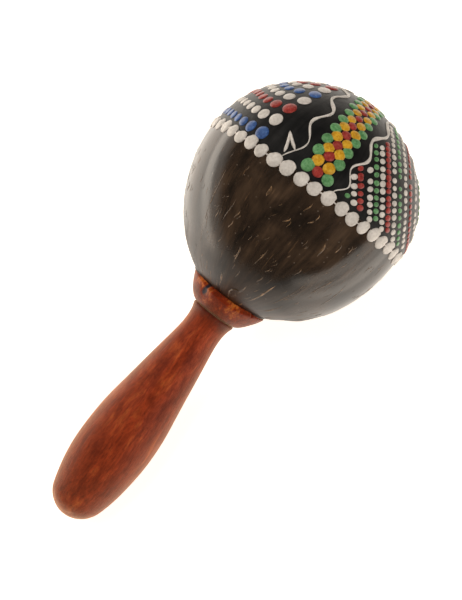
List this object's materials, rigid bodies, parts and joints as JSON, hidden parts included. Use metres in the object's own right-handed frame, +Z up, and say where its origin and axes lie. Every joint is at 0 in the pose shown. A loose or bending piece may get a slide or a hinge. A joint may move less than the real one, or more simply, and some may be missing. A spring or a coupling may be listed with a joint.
{
  "type": "maraca",
  "caption": "Coconut-shell maraca: a round rattle of two glued half shells on a turned wooden handle with a flared collar, painted with rows of dots, loose seeds inside.",
  "frame": {"origin": "under the middle of the instrument's bounding box, on the table it lies on", "axes": "+Z up, +X from the butt of the handle towards the crown of the shell, with the instrument's own axis rising about 12.5 degrees towards +X because the shell and the grip both touch the table"},
  "size_m": [0.2298, 0.102, 0.1023],
  "materials": {
    "handle_wood": "stained and satin varnished",
    "collar_wood": "stained and satin varnished",
    "coconut_shell": "polished coconut shell with pale fibre flecks",
    "painted_shell": "gloss black paint with raised dots",
    "seam_glue": "painted over",
    "wood_glue": "dried glue with sawdust",
    "seed": "hard polished seed coat"
  },
  "bodies": {
    "maraca": {"handle": "handle_wood", "collar": "collar_wood", "lower_shell": "coconut_shell", "upper_shell": "painted_shell", "seam_glue": "seam_glue", "seat_glue": "wood_glue", "tenon_glue": "wood_glue"},
    "seed_01": {"seed_01": "seed"},
    "seed_02": {"seed_02": "seed"},
    "seed_03": {"seed_03": "seed"},
    "seed_04": {"seed_04": "seed"},
    "seed_05": {"seed_05": "seed"},
    "seed_06": {"seed_06": "seed"},
    "seed_07": {"seed_07": "seed"},
    "seed_08": {"seed_08": "seed"},
    "seed_09": {"seed_09": "seed"},
    "seed_10": {"seed_10": "seed"},
    "seed_11": {"seed_11": "seed"},
    "seed_12": {"seed_12": "seed"},
    "seed_13": {"seed_13": "seed"},
    "seed_14": {"seed_14": "seed"},
    "seed_15": {"seed_15": "seed"},
    "seed_16": {"seed_16": "seed"},
    "seed_17": {"seed_17": "seed"},
    "seed_18": {"seed_18": "seed"},
    "seed_19": {"seed_19": "seed"},
    "seed_20": {"seed_20": "seed"},
    "seed_21": {"seed_21": "seed"},
    "seed_22": {"seed_22": "seed"},
    "seed_23": {"seed_23": "seed"},
    "seed_24": {"seed_24": "seed"},
    "seed_25": {"seed_25": "seed"},
    "seed_26": {"seed_26": "seed"},
    "seed_27": {"seed_27": "seed"}
  },
  "joints": [
    {"name": "seed_01_throw", "type": "slide", "parent": "maraca", "child": "seed_01", "axis": [0, 0, 1], "range_m": [0, 0.08478]},
    {"name": "seed_02_throw", "type": "slide", "parent": "maraca", "child": "seed_02", "axis": [0, 0, 1], "range_m": [0, 0.08564]},
    {"name": "seed_03_throw", "type": "slide", "parent": "maraca", "child": "seed_03", "axis": [0, 0, 1], "range_m": [0, 0.08478]},
    {"name": "seed_04_throw", "type": "slide", "parent": "maraca", "child": "seed_04", "axis": [0, 0, 1], "range_m": [0, 0.08594]},
    {"name": "seed_05_throw", "type": "slide", "parent": "maraca", "child": "seed_05", "axis": [0, 0, 1], "range_m": [0, 0.08763]},
    {"name": "seed_06_throw", "type": "slide", "parent": "maraca", "child": "seed_06", "axis": [0, 0, 1], "range_m": [0, 0.08763]},
    {"name": "seed_07_throw", "type": "slide", "parent": "maraca", "child": "seed_07", "axis": [0, 0, 1], "range_m": [0, 0.08594]},
    {"name": "seed_08_throw", "type": "slide", "parent": "maraca", "child": "seed_08", "axis": [0, 0, 1], "range_m": [0, 0.08575]},
    {"name": "seed_09_throw", "type": "slide", "parent": "maraca", "child": "seed_09", "axis": [0, 0, 1], "range_m": [0, 0.08826]},
    {"name": "seed_10_throw", "type": "slide", "parent": "maraca", "child": "seed_10", "axis": [0, 0, 1], "range_m": [0, 0.08908]},
    {"name": "seed_11_throw", "type": "slide", "parent": "maraca", "child": "seed_11", "axis": [0, 0, 1], "range_m": [0, 0.08826]},
    {"name": "seed_12_throw", "type": "slide", "parent": "maraca", "child": "seed_12", "axis": [0, 0, 1], "range_m": [0, 0.08575]},
    {"name": "seed_13_throw", "type": "slide", "parent": "maraca", "child": "seed_13", "axis": [0, 0, 1], "range_m": [0, 0.08392]},
    {"name": "seed_14_throw", "type": "slide", "parent": "maraca", "child": "seed_14", "axis": [0, 0, 1], "range_m": [0, 0.08729]},
    {"name": "seed_15_throw", "type": "slide", "parent": "maraca", "child": "seed_15", "axis": [0, 0, 1], "range_m": [0, 0.08893]},
    {"name": "seed_16_throw", "type": "slide", "parent": "maraca", "child": "seed_16", "axis": [0, 0, 1], "range_m": [0, 0.08893]},
    {"name": "seed_17_throw", "type": "slide", "parent": "maraca", "child": "seed_17", "axis": [0, 0, 1], "range_m": [0, 0.08729]},
    {"name": "seed_18_throw", "type": "slide", "parent": "maraca", "child": "seed_18", "axis": [0, 0, 1], "range_m": [0, 0.08392]},
    {"name": "seed_19_throw", "type": "slide", "parent": "maraca", "child": "seed_19", "axis": [0, 0, 1], "range_m": [0, 0.08468]},
    {"name": "seed_20_throw", "type": "slide", "parent": "maraca", "child": "seed_20", "axis": [0, 0, 1], "range_m": [0, 0.08718]},
    {"name": "seed_21_throw", "type": "slide", "parent": "maraca", "child": "seed_21", "axis": [0, 0, 1], "range_m": [0, 0.088]},
    {"name": "seed_22_throw", "type": "slide", "parent": "maraca", "child": "seed_22", "axis": [0, 0, 1], "range_m": [0, 0.08718]},
    {"name": "seed_23_throw", "type": "slide", "parent": "maraca", "child": "seed_23", "axis": [0, 0, 1], "range_m": [0, 0.08468]},
    {"name": "seed_24_throw", "type": "slide", "parent": "maraca", "child": "seed_24", "axis": [0, 0, 1], "range_m": [0, 0.08373]},
    {"name": "seed_25_throw", "type": "slide", "parent": "maraca", "child": "seed_25", "axis": [0, 0, 1], "range_m": [0, 0.0854]},
    {"name": "seed_26_throw", "type": "slide", "parent": "maraca", "child": "seed_26", "axis": [0, 0, 1], "range_m": [0, 0.0854]},
    {"name": "seed_27_throw", "type": "slide", "parent": "maraca", "child": "seed_27", "axis": [0, 0, 1], "range_m": [0, 0.08373]}
  ]
}
